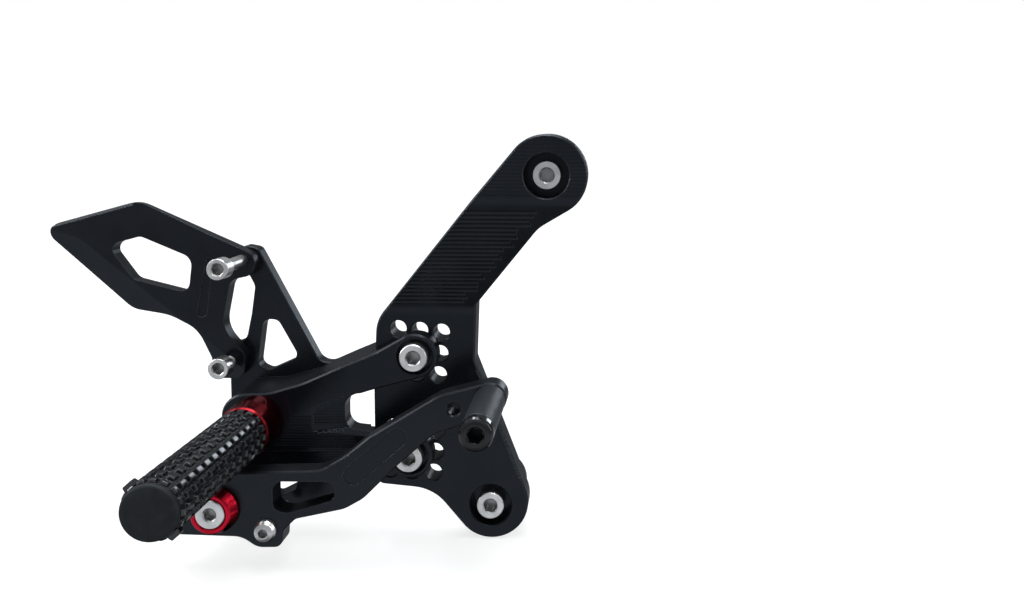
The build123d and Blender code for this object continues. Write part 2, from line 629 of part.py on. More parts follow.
out["heel_guard_screw_upper"] = cap_screw(
    *GUARD_SCREW_UPPER, -42.0, 5.0, 6.0, 5.0, [(-18.0, 3.0), (-6.6, 2.98)], 10
)
out["heel_guard_screw_lower"] = cap_screw(
    *GUARD_SCREW_LOWER, -29.6, 5.0, 6.0, 5.0, [(-6.6, 2.98)], 20, threads=[(-23.2, -18.2, 1.0, 2.98)]
)

# ---------------------------------------------------------------- brake pedal
pedal_outline = [
    (-18.5, 64.4, 20.0),
    (2.3, 69.92, 0),
    ("arc", 11.17, 65.17),
    (6.6, 56.18, 0),
    (-20.5, 47.0, 14.0),
    (-37.5, 32.2, 60.0),
    (-52.6, 17.2, 14.0),
    (-61.0, 12.4, 14.0),
    (-83.2, 7.6, 4.0),
    (-88.8, 2.0, 3.0),
    (-89.2, -5.4, 7.0),
    (-100.4, -5.6, 8.0),
    (-107.5, -0.7, 12.0),
    (-143.0, 0.2, 7.0),
    (-143.0, 13.5, 9.0),
    (-126.0, 28.2, 12.0),
    (-71.5, 29.9, 14.0),
    (-59.5, 37.4, 12.0),
    (-50.0, 45.2, 25.0),
]
pedal = both_chamfer(plate(pedal_outline, PEDAL_FRONT, PEDAL_BACK), 0.7)
slot = [(-93.0, 25.0, 4.5), (-65.0, 25.0, 4.5), (-65.2, 16.6, 4.2), (-87.0, 10.4, 6.0), (-93.0, 12.2, 4.0)]
slot_cut = plate(slot, PEDAL_FRONT - 1, PEDAL_BACK + 1)
cuts = [slot_cut]


def stadium(p, q, r):
    dx, dz = q[0] - p[0], q[1] - p[1]
    ln = math.hypot(dx, dz)
    nx, nz_ = -dz / ln * r, dx / ln * r
    ex, ez = dx / ln * r, dz / ln * r
    return [
        (p[0] + nx, p[1] + nz_, 0),
        ("arc", p[0] - ex, p[1] - ez),
        (p[0] - nx, p[1] - nz_, 0),
        (q[0] - nx, q[1] - nz_, 0),
        ("arc", q[0] + ex, q[1] + ez),
        (q[0] + nx, q[1] + nz_, 0),
    ]


cuts.append(plate(stadium((-57.0, 27.9), (-37.0, 45.3), 4.4), PEDAL_FRONT - 1, PEDAL_FRONT + 0.6))
cuts.append(plate(stadium((-55.5, 28.5), (-22.0, 54.5), 4.2), PEDAL_BACK - 4.0, PEDAL_BACK + 1))
cuts += [
    cyl(PIVOT_X, PIVOT_Z, PEDAL_FRONT - 1, PEDAL_BACK + 1, 8.25),
    cyl(PIVOT_X, PIVOT_Z, PEDAL_FRONT + 1, PEDAL_BACK + 1, BEARING_OUT_R),
    cyl(PIVOT_X, PIVOT_Z, -50.95, -49.85, 10.3),
    cyl(TOE_X, TOE_Z, -60.0, -40.0, 3.0),
    cyl(-11.9, 58.1, -60.0, -40.0, 2.7),
    cone(-11.9, 58.1, PEDAL_FRONT - 0.01, PEDAL_FRONT + 0.7, 3.4, 2.7),
    cone(-11.9, 58.1, PEDAL_BACK - 0.5, PEDAL_BACK + 0.01, 2.7, 3.2),
    cyl(ROD_X, ROD_Z, -60.0, -40.0, 2.55),
]
# arc-shaped pocket in the inboard face that the stop pin runs in
slot_r = 2.3
ring = cyl(PIVOT_X, PIVOT_Z, PEDAL_BACK - 5.0, PEDAL_BACK + 1, STOP_R + slot_r) - cyl(
    PIVOT_X, PIVOT_Z, PEDAL_BACK - 6.0, PEDAL_BACK + 2, STOP_R - slot_r
)
w0, w1 = on((PIVOT_X, PIVOT_Z), 30.0, STOP_DEG), on((PIVOT_X, PIVOT_Z), 30.0, STOP_DEG + TRAVEL_DEG)
ring &= plate([(PIVOT_X, PIVOT_Z, 0), (w0[0], w0[1], 0), (w1[0], w1[1], 0)], PEDAL_BACK - 7.0, PEDAL_BACK + 3)
ends = [on((PIVOT_X, PIVOT_Z), STOP_R, STOP_DEG), on((PIVOT_X, PIVOT_Z), STOP_R, STOP_DEG + TRAVEL_DEG)]
for e in ends:
    cuts.append(cyl(e[0], e[1], PEDAL_BACK - 5.0, PEDAL_BACK + 1, slot_r))
cuts.append(cyl(*PIN_PEDAL, PEDAL_BACK - 4.0, PEDAL_BACK + 1, 1.5))
pedal = pedal - cuts - ring
out["brake_pedal"] = pedal

out["pedal_stop_pin"] = cyl(stop[0], stop[1], -53.2, LUG_BACK - 1.0, 1.98)

# pivot: red cup washer, bolt, ball bearing, circlip, spacer
out["pivot_cup_washer"] = turned(
    PIVOT_X,
    PIVOT_Z,
    [
        (4.05, -59.3),
        (6.8, -59.3),
        (6.8, -63.0),
        (7.2, -63.4),
        (8.5, -63.4),
        (9.0, -63.0),
        (10.6, -59.4),
        (10.7, -59.0),
        (10.5, -58.35),
        (5.5, -58.35),
        (5.5, -57.0),
        (4.05, -57.0),
    ],
)
out["pivot_bolt"] = cap_screw(PIVOT_X, PIVOT_Z, -63.7, M8_HEAD_R, 4.4, 5.0, [(-19.0, M8_R - 0.02)], 18)
bw0, bw1 = -57.0, -51.0
bm_y = (bw0 + bw1) / 2
BALL_R, BALL_PATH = 1.5, 6.8
groove = revolve(
    Face(Wire([CenterArc((0, 0, 0), BALL_R + 0.05, 0, 360).edge()])).moved(Location((PIVOT_X + BALL_PATH, bm_y, PIVOT_Z))),
    Axis((PIVOT_X, 0, PIVOT_Z), (0, 1, 0)),
    360,
)
out["pivot_bearing_inner"] = cyl(PIVOT_X, PIVOT_Z, bw0, bw1, 5.6) - cyl(PIVOT_X, PIVOT_Z, bw0 - 1, bw1 + 1, 4.02) - groove
out["pivot_bearing_outer"] = cyl(PIVOT_X, PIVOT_Z, bw0 + 0.02, bw1, BEARING_OUT_R) - cyl(PIVOT_X, PIVOT_Z, bw0 - 1, bw1 + 1, 8.0) - groove
balls, ball_room = [], []
for i in range(7):
    bx, bz = on((PIVOT_X, PIVOT_Z), BALL_PATH, i * 360 / 7 + 10)
    balls.append(Pos(bx, bm_y, bz) * Sphere(BALL_R))
    ball_room.append(Pos(bx, bm_y, bz) * Sphere(BALL_R + 0.06))
out["pivot_bearing_balls"] = Compound(children=[b.solid() if hasattr(b, "solid") else b for b in balls])
cage = cyl(PIVOT_X, PIVOT_Z, bm_y - 2.2, bm_y + 2.2, 7.2) - cyl(PIVOT_X, PIVOT_Z, bm_y - 3, bm_y + 3, 6.4)
for room in ball_room:
    cage = cage - room
out["pivot_bearing_cage"] = cage
clip = cyl(PIVOT_X, PIVOT_Z, -50.9, -49.9, 10.25) - cyl(PIVOT_X, PIVOT_Z, -51.5, -49.0, 8.5)
clip -= plate([(PIVOT_X, PIVOT_Z, 0), (PIVOT_X + 4, PIVOT_Z - 14, 0), (PIVOT_X - 4, PIVOT_Z - 14, 0)], -52.0, -49.0)
out["pivot_circlip"] = clip
out["pivot_spacer"] = cyl(PIVOT_X, PIVOT_Z, bw1, BOSS_FRONT, 6.0) - cyl(PIVOT_X, PIVOT_Z, bw1 - 1, BOSS_FRONT + 1, 4.05)

# torsion spring round the pivot boss: its straight legs bear on a pin in the pedal
# and a pin in the bracket
spring_start = Vector(PIVOT_X + COIL_R * math.cos(math.radians(START_DEG)), SPRING_Y, PIVOT_Z + COIL_R * math.sin(math.radians(START_DEG)))
helix = Plane(
    origin=(PIVOT_X, SPRING_Y, PIVOT_Z),
    x_dir=(math.cos(math.radians(START_DEG)), 0, math.sin(math.radians(START_DEG))),
    z_dir=(0, 1, 0),
) * Helix(COIL_PITCH, COIL_PITCH * TURNS, COIL_R)
hs, he, hd, ht = helix @ 0, helix @ 1, helix % 0, helix % 1
leg_start = hs - hd * LEG_1
leg_end = he + ht * LEG_2
spring_path = Wire([Line(leg_start, hs).edge(), helix.edge(), Line(he, leg_end).edge()])
section = Plane(origin=leg_start, z_dir=hd) * Circle(WIRE_R)
spring = sweep(section, path=spring_path, is_frenet=True)
print("spring volume", spring.volume, "section by length", math.pi * WIRE_R**2 * spring_path.length)
out["pedal_return_spring"] = spring
out["spring_pin_pedal"] = cyl(*PIN_PEDAL, PEDAL_BACK - 4.0, SPRING_Y + 1.6, 1.5)
out["spring_pin_bracket"] = cyl(*PIN_BRACKET, SPRING_Y + COIL_PITCH * TURNS - 1.6, LUG_BACK - 4.0, 1.5)

# ---------------------------------------------------------------- toe peg and rod screw
toe = turned(
    TOE_X,
    TOE_Z,
    [
        (0, TOE_END),
        (4.6, TOE_END),
        (5.7, TOE_END + 0.25),
        (6.55, TOE_END + 0.95),
        (7.0, TOE_END + 2.1),
        (7.0, TOE_END + 5.0),
        (6.75, TOE_END + 5.2),
        (6.75, TOE_END + 5.5),
        (6.95, TOE_END + 5.7),
        (6.95, PEDAL_FRONT - 2.6),
        (6.7, PEDAL_FRONT - 2.0),
        (6.7, PEDAL_FRONT - 0.7),
        (6.3, PEDAL_FRONT - 0.1),
        (2.98, PEDAL_FRONT - 0.1),
        (2.98, PEDAL_BACK + 0.2),
        (2.4, PEDAL_BACK + 0.8),
        (0, PEDAL_BACK + 0.8),
    ],
)
toe -= hexagon(TOE_X, TOE_Z, TOE_END - 1, TOE_END + 8.0, 6.0, 10)
toe -= cone(TOE_X, TOE_Z, TOE_END - 0.01, TOE_END + 0.6, 3.9, 3.2)
out["toe_peg"] = toe

rod_screw = turned(
    ROD_X,
    ROD_Z,
    [
        (0, PEDAL_FRONT - 3.3),
        (2.6, PEDAL_FRONT - 3.3),
        (4.1, PEDAL_FRONT - 2.6),
        (4.95, PEDAL_FRONT - 1.2),
        (5.1, PEDAL_FRONT),
        (2.5, PEDAL_FRONT),
        (2.5, -44.0),
        (3.0, -44.0),
        (3.0, -37.2),
        (2.4, -36.6),
        (0, -36.6),
    ],
)
rod_screw -= hexagon(ROD_X, ROD_Z, PEDAL_FRONT - 5, PEDAL_FRONT - 1.0, 4.0, 14)
out["rod_screw"] = rod_screw
nut = hexagon(ROD_X, ROD_Z, PEDAL_BACK + 0.0, -44.0, 10.0, 5)
nut &= turned(ROD_X, ROD_Z, [(0, PEDAL_BACK), (5.1, PEDAL_BACK), (5.9, PEDAL_BACK + 0.6), (5.9, -44.6), (5.1, -44.0), (0, -44.0)])
nut -= cyl(ROD_X, ROD_Z, -60.0, -40.0, 2.53)
out["rod_screw_nut"] = nut

for name, shape in out.items():
    export_step(shape, f"parts/{name}.step")
print(len(out), "nodes")
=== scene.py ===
import math

import bpy
from mathutils import Matrix, Vector


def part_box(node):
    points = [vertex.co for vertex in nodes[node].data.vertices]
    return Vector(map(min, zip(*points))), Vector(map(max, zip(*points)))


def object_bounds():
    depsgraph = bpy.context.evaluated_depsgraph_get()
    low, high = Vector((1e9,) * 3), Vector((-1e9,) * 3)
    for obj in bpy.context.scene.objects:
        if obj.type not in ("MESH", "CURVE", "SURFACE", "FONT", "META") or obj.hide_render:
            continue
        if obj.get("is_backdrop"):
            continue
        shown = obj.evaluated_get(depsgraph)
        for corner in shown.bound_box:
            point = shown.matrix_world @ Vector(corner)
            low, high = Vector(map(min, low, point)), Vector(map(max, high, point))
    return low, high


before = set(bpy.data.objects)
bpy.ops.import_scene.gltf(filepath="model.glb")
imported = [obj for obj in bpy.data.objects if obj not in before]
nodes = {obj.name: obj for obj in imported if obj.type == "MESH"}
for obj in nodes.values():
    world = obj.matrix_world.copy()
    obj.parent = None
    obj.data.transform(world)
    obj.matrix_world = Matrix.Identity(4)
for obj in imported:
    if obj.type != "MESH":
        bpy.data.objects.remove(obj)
cad_low, cad_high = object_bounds()
MM = 0.001


# ------------------------------------------------------------------ node trees
class Tree:
    """A material's node tree, with short names for what every finish here is made of."""

    def __init__(self, name):
        self.material = bpy.data.materials.new(name)
        self.material.use_nodes = True
        self.nt = self.material.node_tree
        self.nt.nodes.clear()
        self.out = self.add("ShaderNodeOutputMaterial")
        self.bsdf = self.add("ShaderNodeBsdfPrincipled")
        self.link(self.bsdf.outputs["BSDF"], self.out.inputs["Surface"])
        self.place = self.add("ShaderNodeTexCoord").outputs["Object"]
        split = self.add("ShaderNodeSeparateXYZ")
        self.link(self.place, split.inputs[0])
        self.x, self.y, self.z = split.outputs
        self.geometry = self.add("ShaderNodeNewGeometry")

    def add(self, kind, **props):
        node = self.nt.nodes.new(kind)
        for key, value in props.items():
            setattr(node, key, value)
        return node

    def link(self, a, b):
        self.nt.links.new(a, b)

    def feed(self, socket, value):
        if isinstance(value, bpy.types.NodeSocket):
            self.link(value, socket)
        else:
            socket.default_value = value

    def math(self, op, a, b=0.0, c=None, clamp=False):
        node = self.add("ShaderNodeMath", operation=op, use_clamp=clamp)
        self.feed(node.inputs[0], a)
        self.feed(node.inputs[1], b)
        if c is not None:
            self.feed(node.inputs[2], c)
        return node.outputs[0]

    def vec(self, op, a, b=(0.0, 0.0, 0.0)):
        node = self.add("ShaderNodeVectorMath", operation=op)
        self.feed(node.inputs[0], a)
        self.feed(node.inputs[1], b)
        return node.outputs["Value"] if op in ("DOT_PRODUCT", "LENGTH") else node.outputs["Vector"]

    def scaled(self, factors):
        """The object's coordinates, each axis times its own factor (1/m)."""
        return self.vec("MULTIPLY", self.place, factors)

    def noise(self, vector, scale=1.0, detail=3.0, rough=0.5):
        node = self.add("ShaderNodeTexNoise")
        self.link(vector, node.inputs["Vector"])
        node.inputs["Scale"].default_value = scale
        node.inputs["Detail"].default_value = detail
        node.inputs["Roughness"].default_value = rough
        return node.outputs["Fac"]

    def ramp(self, value, low, high, out_low=0.0, out_high=1.0, smooth=True):
        node = self.add("ShaderNodeMapRange", interpolation_type="SMOOTHSTEP" if smooth else "LINEAR")
        self.feed(node.inputs["Value"], value)
        node.inputs["From Min"].default_value = low
        node.inputs["From Max"].default_value = high
        node.inputs["To Min"].default_value = out_low
        node.inputs["To Max"].default_value = out_high
        return node.outputs["Result"]

    def mix(self, factor, a, b):
        node = self.add("ShaderNodeMix", data_type="RGBA")
        self.feed(node.inputs[0], factor)
        self.feed(node.inputs[6], a if isinstance(a, bpy.types.NodeSocket) else (*a, 1.0))
        self.feed(node.inputs[7], b if isinstance(b, bpy.types.NodeSocket) else (*b, 1.0))
        return node.outputs[2]

    def blend(self, factor, a, b):
        node = self.add("ShaderNodeMix", data_type="FLOAT")
        self.feed(node.inputs[0], factor)
        self.feed(node.inputs[2], a)
        self.feed(node.inputs[3], b)
        return node.outputs[0]

    def wave(self, coordinate, pitch, wobble=None, amount=0.0):
        """0 to 1 and back over each pitch of the coordinate."""
        turn = self.math("MULTIPLY", coordinate, 2 * math.pi / pitch)
        if wobble is not None:
            turn = self.math("MULTIPLY_ADD", wobble, amount, turn)
        return self.math("MULTIPLY_ADD", self.math("SINE", turn), 0.5, 0.5)

    def radius(self, centre, plane="xz"):
        """Distance from an axis through centre, across the plane's two coordinates."""
        a, b = {"xz": (self.x, self.z), "xy": (self.x, self.y), "yz": (self.y, self.z)}[plane]
        da = self.math("SUBTRACT", a, centre[0])
        db = self.math("SUBTRACT", b, centre[1])
        return self.math("SQRT", self.math("ADD", self.math("MULTIPLY", da, da), self.math("MULTIPLY", db, db)))

    def edge(self, size=0.35 * MM, low=0.02, high=0.25):
        """1 along the solid's edges, 0 away from them, and the softened normal."""
        bevel = self.add("ShaderNodeBevel", samples=4)
        bevel.inputs["Radius"].default_value = size
        dot = self.vec("DOT_PRODUCT", bevel.outputs["Normal"], self.geometry.outputs["Normal"])
        return self.ramp(self.math("SUBTRACT", 1.0, dot), low, high), bevel.outputs["Normal"]

    def bump(self, height, distance, strength=1.0, normal=None):
        node = self.add("ShaderNodeBump")
        self.link(height, node.inputs["Height"])
        node.inputs["Distance"].default_value = distance
        node.inputs["Strength"].default_value = strength
        if normal is not None:
            self.link(normal, node.inputs["Normal"])
        return node.outputs["Normal"]

    def set(self, **values):
        names = {
            "color": "Base Color",
            "metallic": "Metallic",
            "roughness": "Roughness",
            "ior": "IOR",
            "specular": "Specular IOR Level",
            "normal": "Normal",
            "coat": "Coat Weight",
            "coat_roughness": "Coat Roughness",
            "anisotropic": "Anisotropic",
        }
        for key, value in values.items():
            socket = self.bsdf.inputs[names[key]]
            if key == "color" and not isinstance(value, bpy.types.NodeSocket):
                value = (*value, 1.0)
            self.feed(socket, value)


def dress(names, material):
    for name in names if isinstance(names, (list, tuple)) else [names]:
        if name not in nodes:
            continue
        data = nodes[name].data
        if not data.materials:
            data.materials.append(material)
        for i in range(len(data.materials)):
            data.materials[i] = material


# ------------------------------------------------------------------ finishes
def anodised(name, base, sheen_color, rough=0.34, specular=0.3, line="z", pitch=0.55 * MM, line_depth=0.006 * MM, wear_and_highlight=0.5, passes=0.0, pass_pitch=1.2 * MM, walls=3.0):
    """Satin anodised aluminium plate: face-mill lines on the broad faces, end-mill streaks on the walls, edges
    lightened by rubbing and painted highlight.
    """
    t = Tree(name)
    edge, soft = t.edge()
    ny = t.math("ABSOLUTE", t.vec("DOT_PRODUCT", t.geometry.outputs["Normal"], (0.0, 1.0, 0.0)))
    face = t.ramp(ny, 0.75, 0.95)
    cloud = t.noise(t.scaled((60.0, 60.0, 60.0)), detail=3.0)
    fine = t.noise(t.scaled((900.0, 900.0, 900.0)), detail=4.0, rough=0.6)
    waver = t.noise(t.scaled((25.0, 25.0, 25.0)), detail=2.0)
    coordinate = {"z": t.z, "x": t.x}.get(line)
    if coordinate is None:  # lines at an angle, given as a direction across them
        coordinate = t.vec("DOT_PRODUCT", t.place, (line[0], 0.0, line[1]))
    lines = t.wave(coordinate, pitch, waver, 3.0)
    grain = t.noise(
        t.scaled((40.0, 40.0, 5200.0) if line == "z" else (5200.0, 40.0, 40.0) if line == "x" else (700.0, 60.0, 2400.0)),
        detail=2.0,
    )
    streak = t.noise(t.scaled((1500.0, 25.0, 1500.0)), detail=2.0, rough=0.55)
    face_height = t.math("MULTIPLY_ADD", grain, 0.8, lines)
    if passes:
        # wider cutter passes, stronger in some places than in others
        where = t.ramp(t.noise(t.scaled((28.0, 28.0, 45.0)), detail=2.0), 0.42, 0.66)
        wide = t.wave(t.z, pass_pitch, t.noise(t.scaled((16.0, 16.0, 16.0)), detail=1.0), 5.0)
        face_height = t.math("MULTIPLY_ADD", t.math("MULTIPLY", wide, where), passes, face_height)
    teeth = t.wave(t.math("ADD", t.x, t.z), 1.5 * MM, waver, 14.0)
    wall_height = t.math("MULTIPLY_ADD", teeth, walls * 0.5, t.math("MULTIPLY", streak, walls))
    height = t.blend(face, wall_height, face_height)
    height = t.math("MULTIPLY_ADD", fine, 0.35, height)
    # painted highlight and wear: the edges are lightened toward the sheen colour, in patches
    rub_and_highlight = t.math("MULTIPLY", edge, t.ramp(t.noise(t.scaled((420.0, 420.0, 420.0)), detail=3.0), 0.32, 0.62, 0.35, 1.0))
    color = t.mix(t.ramp(cloud, 0.3, 0.7), tuple(c * 0.78 for c in base), tuple(c * 1.25 for c in base))
    color = t.mix(t.math("MULTIPLY", t.ramp(grain, 0.45, 0.75), 0.35), color, tuple(c * 1.8 for c in base))
    color = t.mix(t.math("MULTIPLY", rub_and_highlight, wear_and_highlight), color, sheen_color)
    r = t.math("MULTIPLY_ADD", cloud, 0.10, rough - 0.05)
    r = t.math("MULTIPLY_ADD", grain, 0.10, t.math("SUBTRACT", r, 0.05))
    r = t.math("MULTIPLY_ADD", rub_and_highlight, -0.08, r)
    r = t.blend(face, t.math("ADD", r, 0.12), r)
    t.set(
        color=color,
        metallic=0.0,
        roughness=r,
        specular=specular,
        normal=t.bump(height, line_depth, 1.0, soft),
    )
    t.bsdf.inputs["Specular Tint"].default_value = (0.76, 0.87, 1.0, 1.0)
    return t.material


def turned_metal(name, centres, base, dark, rough=0.2, pitch=0.32 * MM, depth=0.004 * MM, plane="xz", wear_and_highlight=0.35, metallic=1.0, specular=0.5, socket=0.0):
    """Bright lathe-turned metal: fine rings round its axis, with hairline scratches, painted shade in the socket, and
    edges lightened by wear and painted highlight.
    """
    t = Tree(name)
    edge, soft = t.edge(0.3 * MM)
    ring = t.radius(centres[0], plane)
    for centre in centres[1:]:
        ring = t.math("MINIMUM", ring, t.radius(centre, plane))
    cloud = t.noise(t.scaled((150.0, 150.0, 150.0)), detail=3.0)
    fine = t.noise(t.scaled((2600.0, 2600.0, 2600.0)), detail=3.0, rough=0.6)
    lathe = t.wave(ring, pitch, cloud, 2.0)
    smear = t.noise(t.scaled((300.0, 900.0, 300.0)), detail=4.0, rough=0.6)
    color = t.mix(t.ramp(cloud, 0.3, 0.72), dark, base)
    # painted highlight and wear: the edges are lightened above the base colour
    color = t.mix(t.math("MULTIPLY", edge, wear_and_highlight), color, tuple(min(1.0, c * 1.25) for c in base))
    if socket:
        # painted shade: the socket and a ring round its rim are darkened
        socket_shade = t.ramp(ring, socket - 0.25 * MM, socket + 0.1 * MM, 1.0, 0.0)
        rim = t.math("MULTIPLY", t.ramp(ring, socket - 0.1 * MM, socket + 0.2 * MM), t.ramp(ring, socket + 0.25 * MM, socket + 0.6 * MM, 1.0, 0.0))
        color = t.mix(t.math("MULTIPLY", socket_shade, 0.8), color, tuple(c * 0.30 for c in dark))
        color = t.mix(t.math("MULTIPLY", rim, 0.35), color, tuple(c * 0.45 for c in dark))
    r = t.math("MULTIPLY_ADD", smear, 0.16, rough - 0.08)
    r = t.math("MULTIPLY_ADD", lathe, 0.05, r)
    height = t.math("MULTIPLY_ADD", fine, 0.5, lathe)
    t.set(color=color, metallic=metallic, roughness=r, specular=specular, normal=t.bump(height, depth, 1.0, soft))
    return t.material


def centre_of(name):
    low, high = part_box(name)
    mid = (low + high) / 2
    return [(mid.x, mid.z)]


# satin black plates, each with the direction its cutter ran
BLACK = (0.0042, 0.0046, 0.0060)
# edge colour for the plates: rubbed anodising plus a painted highlight
RUB_AND_HIGHLIGHT = (0.17, 0.175, 0.19)
dress("frame_plate", anodised("black_frame_plate", BLACK, RUB_AND_HIGHLIGHT, rough=0.24, specular=0.26, line="z", pitch=0.5 * MM, walls=4.5))
dress("peg_bracket", anodised("black_peg_bracket", BLACK, RUB_AND_HIGHLIGHT, rough=0.20, specular=0.26, line=(-0.38, 0.925), pitch=0.45 * MM, passes=3.6, pass_pitch=1.2 * MM, walls=2.0))
dress("heel_guard", anodised("black_heel_guard", BLACK, RUB_AND_HIGHLIGHT, rough=0.22, specular=0.26, line=(0.2, 0.98), pitch=0.5 * MM, walls=4.5))
dress("brake_pedal", anodised("black_brake_pedal", (0.0050, 0.0056, 0.0068), RUB_AND_HIGHLIGHT, rough=0.22, specular=0.26, line=(-0.55, 0.83), pitch=0.5 * MM, walls=2.0))
for node in ("frame_spacer_lower", "frame_spacer_upper"):
    c = centre_of(node)
    dress(node, turned_metal("black_" + node, c, (0.010, 0.0105, 0.012), (0.006, 0.0064, 0.0075), rough=0.32, depth=0.005 * MM, metallic=0.0, specular=0.3, pitch=0.4 * MM))

# bright fasteners
STEEL, STEEL_DARK = (0.86, 0.85, 0.83), (0.62, 0.61, 0.60)
for node, socket in (
    ("frame_bolt_lower", 3.3),
    ("frame_bolt_upper", 3.3),
    ("heel_guard_screw_upper", 2.8),
    ("heel_guard_screw_lower", 2.8),
    ("pivot_bolt", 2.8),
    ("peg_bolt", 3.3),
    ("rod_screw", 2.2),
    ("rod_screw_nut", 0.0),
):
    dress(node, turned_metal("steel_" + node, centre_of(node), STEEL, STEEL_DARK, rough=0.3, socket=socket * MM))
# two screws in one node: their heads touch the corners of its box
low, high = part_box("bracket_bolts")
head = 6.5 * MM
pair = [(high.x - head, high.z - head), (low.x + head, low.z + head)]
dress("bracket_bolts", turned_metal("steel_bracket_bolts", pair, STEEL, STEEL_DARK, rough=0.3, socket=3.3 * MM))

# red anodised rings
for node, base in (("pivot_cup_washer", (0.62, 0.012, 0.035)), ("peg_collar", (0.24, 0.014, 0.020))):
    dress(node, turned_metal("red_" + node, centre_of(node), base, tuple(v * 0.7 for v in base), rough=0.2, pitch=0.3 * MM, wear_and_highlight=0.12))

# foot peg barrel: gloss black anodised
t = Tree("gloss_black_barrel")
edge = t.edge(0.3 * MM)[0]
soft = t.edge(0.45 * MM)[1]
cloud = t.noise(t.scaled((180.0, 180.0, 180.0)), detail=3.0)
fine = t.noise(t.scaled((1800.0, 1800.0, 1800.0)), detail=3.0)
lathe = t.wave(t.y, 0.25 * MM, cloud, 2.0)
color = t.mix(t.ramp(cloud, 0.3, 0.7), (0.004, 0.0042, 0.005), (0.008, 0.0085, 0.010))
# painted highlight: the edges are lightened toward a grey
color = t.mix(t.math("MULTIPLY", edge, 0.2), color, (0.05, 0.052, 0.06))
height = t.math("MULTIPLY_ADD", fine, 0.6, t.math("MULTIPLY", lathe, 0.5))
t.set(
    color=color,
    roughness=t.math("MULTIPLY_ADD", cloud, 0.08, 0.08),
    specular=0.6,
    normal=t.bump(height, 0.004 * MM, 1.0, soft),
)
dress("peg_barrel", t.material)

# end cap: matte moulded dark grey
t = Tree("matte_grey_cap")
edge, soft = t.edge(0.5 * MM)
cloud = t.noise(t.scaled((200.0, 200.0, 200.0)), detail=3.0)
speck = t.noise(t.scaled((2200.0, 2200.0, 2200.0)), detail=4.0, rough=0.65)
color = t.mix(t.ramp(cloud, 0.3, 0.7), (0.0075, 0.0092, 0.0105), (0.012, 0.0145, 0.0165))
color = t.mix(t.math("MULTIPLY", t.ramp(speck, 0.55, 0.8), 0.4), color, (0.022, 0.025, 0.028))
# painted highlight: the edges are lightened toward a grey
color = t.mix(t.math("MULTIPLY", edge, 0.5), color, (0.05, 0.055, 0.06))
t.set(color=color, roughness=t.math("MULTIPLY_ADD", speck, 0.12, 0.52), specular=0.16, normal=t.bump(speck, 0.03 * MM, 0.8, soft))
dress("peg_end_cap", t.material)

# toe peg: dark blue-grey brushed body with a gloss black nose
t = Tree("blue_grey_toe_peg")
edge, soft = t.edge(0.4 * MM)
nose_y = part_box("toe_peg")[0].y + 5.3 * MM
nose = t.ramp(t.y, nose_y - 0.1 * MM, nose_y + 0.1 * MM, 1.0, 0.0)
cloud = t.noise(t.scaled((160.0, 160.0, 160.0)), detail=3.0)
rings = t.noise(t.scaled((60.0, 2600.0, 60.0)), detail=3.0, rough=0.6)
lathe = t.wave(t.y, 1.0 * MM, cloud, 1.0)
body = t.mix(t.ramp(rings, 0.35, 0.7), (0.006, 0.0078, 0.0105), (0.013, 0.0165, 0.0215))
color = t.mix(nose, body, (0.0045, 0.0048, 0.0055))
# painted highlight: the edges are lightened toward a grey
color = t.mix(t.math("MULTIPLY", edge, 0.3), color, (0.10, 0.105, 0.12))
height = t.math("MULTIPLY_ADD", rings, 1.6, t.math("MULTIPLY", lathe, 5.0))
height = t.blend(nose, height, t.math("MULTIPLY", cloud, 0.8))
t.set(
    color=color,
    metallic=0.0,
    roughness=t.blend(nose, 0.45, 0.10),
    specular=0.38,
    normal=t.bump(height, 0.006 * MM, 1.0, soft),
)
dress("toe_peg", t.material)

# bearing, pins, spring
for node, base in (
    ("pivot_bearing_inner", (0.55, 0.55, 0.56)),
    ("pivot_bearing_outer", (0.55, 0.55, 0.56)),
    ("pivot_bearing_balls", (0.65, 0.65, 0.66)),
    ("pedal_stop_pin", (0.45, 0.45, 0.46)),
    ("spring_pin_pedal", (0.45, 0.45, 0.46)),
    ("spring_pin_bracket", (0.45, 0.45, 0.46)),
    ("pivot_spacer", (0.50, 0.50, 0.51)),
    ("pivot_bearing_cage", (0.62, 0.42, 0.14)),
    ("pedal_return_spring", (0.16, 0.16, 0.17)),
    ("pivot_circlip", (0.16, 0.16, 0.17)),
):
    if node in nodes:
        dress(node, turned_metal("metal_" + node, centre_of(node), base, tuple(v * 0.7 for v in base), rough=0.28))


# ------------------------------------------------------------------ stage
floor_z = cad_low[2] - 0.0005
bpy.ops.mesh.primitive_plane_add(size=30.0, location=(0.0, 0.0, floor_z))
floor = bpy.context.object
floor.name = "studio_floor"
t = Tree("studio_floor")
grain = t.noise(t.scaled((3.0, 3.0, 3.0)), detail=2.0)
t.set(color=t.mix(grain, (0.27, 0.27, 0.27), (0.285, 0.285, 0.285)), roughness=0.8, specular=0.1)
t.bsdf.inputs["Emission Color"].default_value = (1.0, 1.0, 1.0, 1.0)
t.bsdf.inputs["Emission Strength"].default_value = 0.76
floor.visible_glossy = False
floor.data.materials.append(t.material)
floor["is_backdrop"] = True

# soft studio surroundings: a plain pale backdrop, and dimmer walls that light the object
world = bpy.data.worlds.new("studio")
bpy.context.scene.world = world
world.use_nodes = True
wt = world.node_tree
walls = wt.nodes["Background"]
walls.inputs["Color"].default_value = (0.90, 0.95, 1.0, 1.0)
backdrop = wt.nodes.new("ShaderNodeBackground")
backdrop.inputs["Color"].default_value = (1.0, 1.0, 1.0, 1.0)
backdrop.inputs["Strength"].default_value = 1.0
heading = wt.nodes.new("ShaderNodeTexCoord")
parts = wt.nodes.new("ShaderNodeSeparateXYZ")
wt.links.new(heading.outputs["Generated"], parts.inputs[0])


